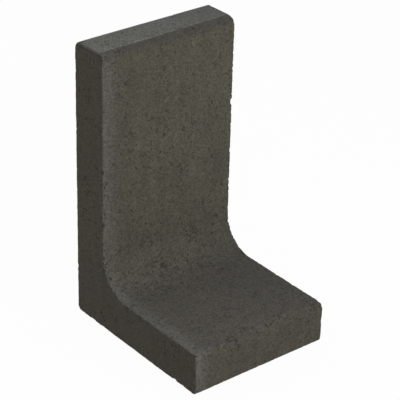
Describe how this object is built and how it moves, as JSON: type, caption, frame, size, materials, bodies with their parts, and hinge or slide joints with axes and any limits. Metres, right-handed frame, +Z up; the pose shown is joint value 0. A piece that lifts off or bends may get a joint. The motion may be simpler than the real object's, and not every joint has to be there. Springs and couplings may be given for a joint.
{
  "type": "concrete l-shaped retaining block",
  "caption": "L-shaped block of dense cast concrete with a rounded inside corner; its stem and foot hold back soil or paving.",
  "frame": {"origin": "middle of the block's footprint, on the bed face it stands on", "axes": "+X along the wall that a row of blocks makes, -Y the way the foot's toe points, +Z up"},
  "size_m": [0.215, 0.26, 0.4],
  "materials": {
    "concrete": "matte"
  },
  "bodies": {
    "root": {"retaining_block": "concrete"}
  },
  "joints": []
}
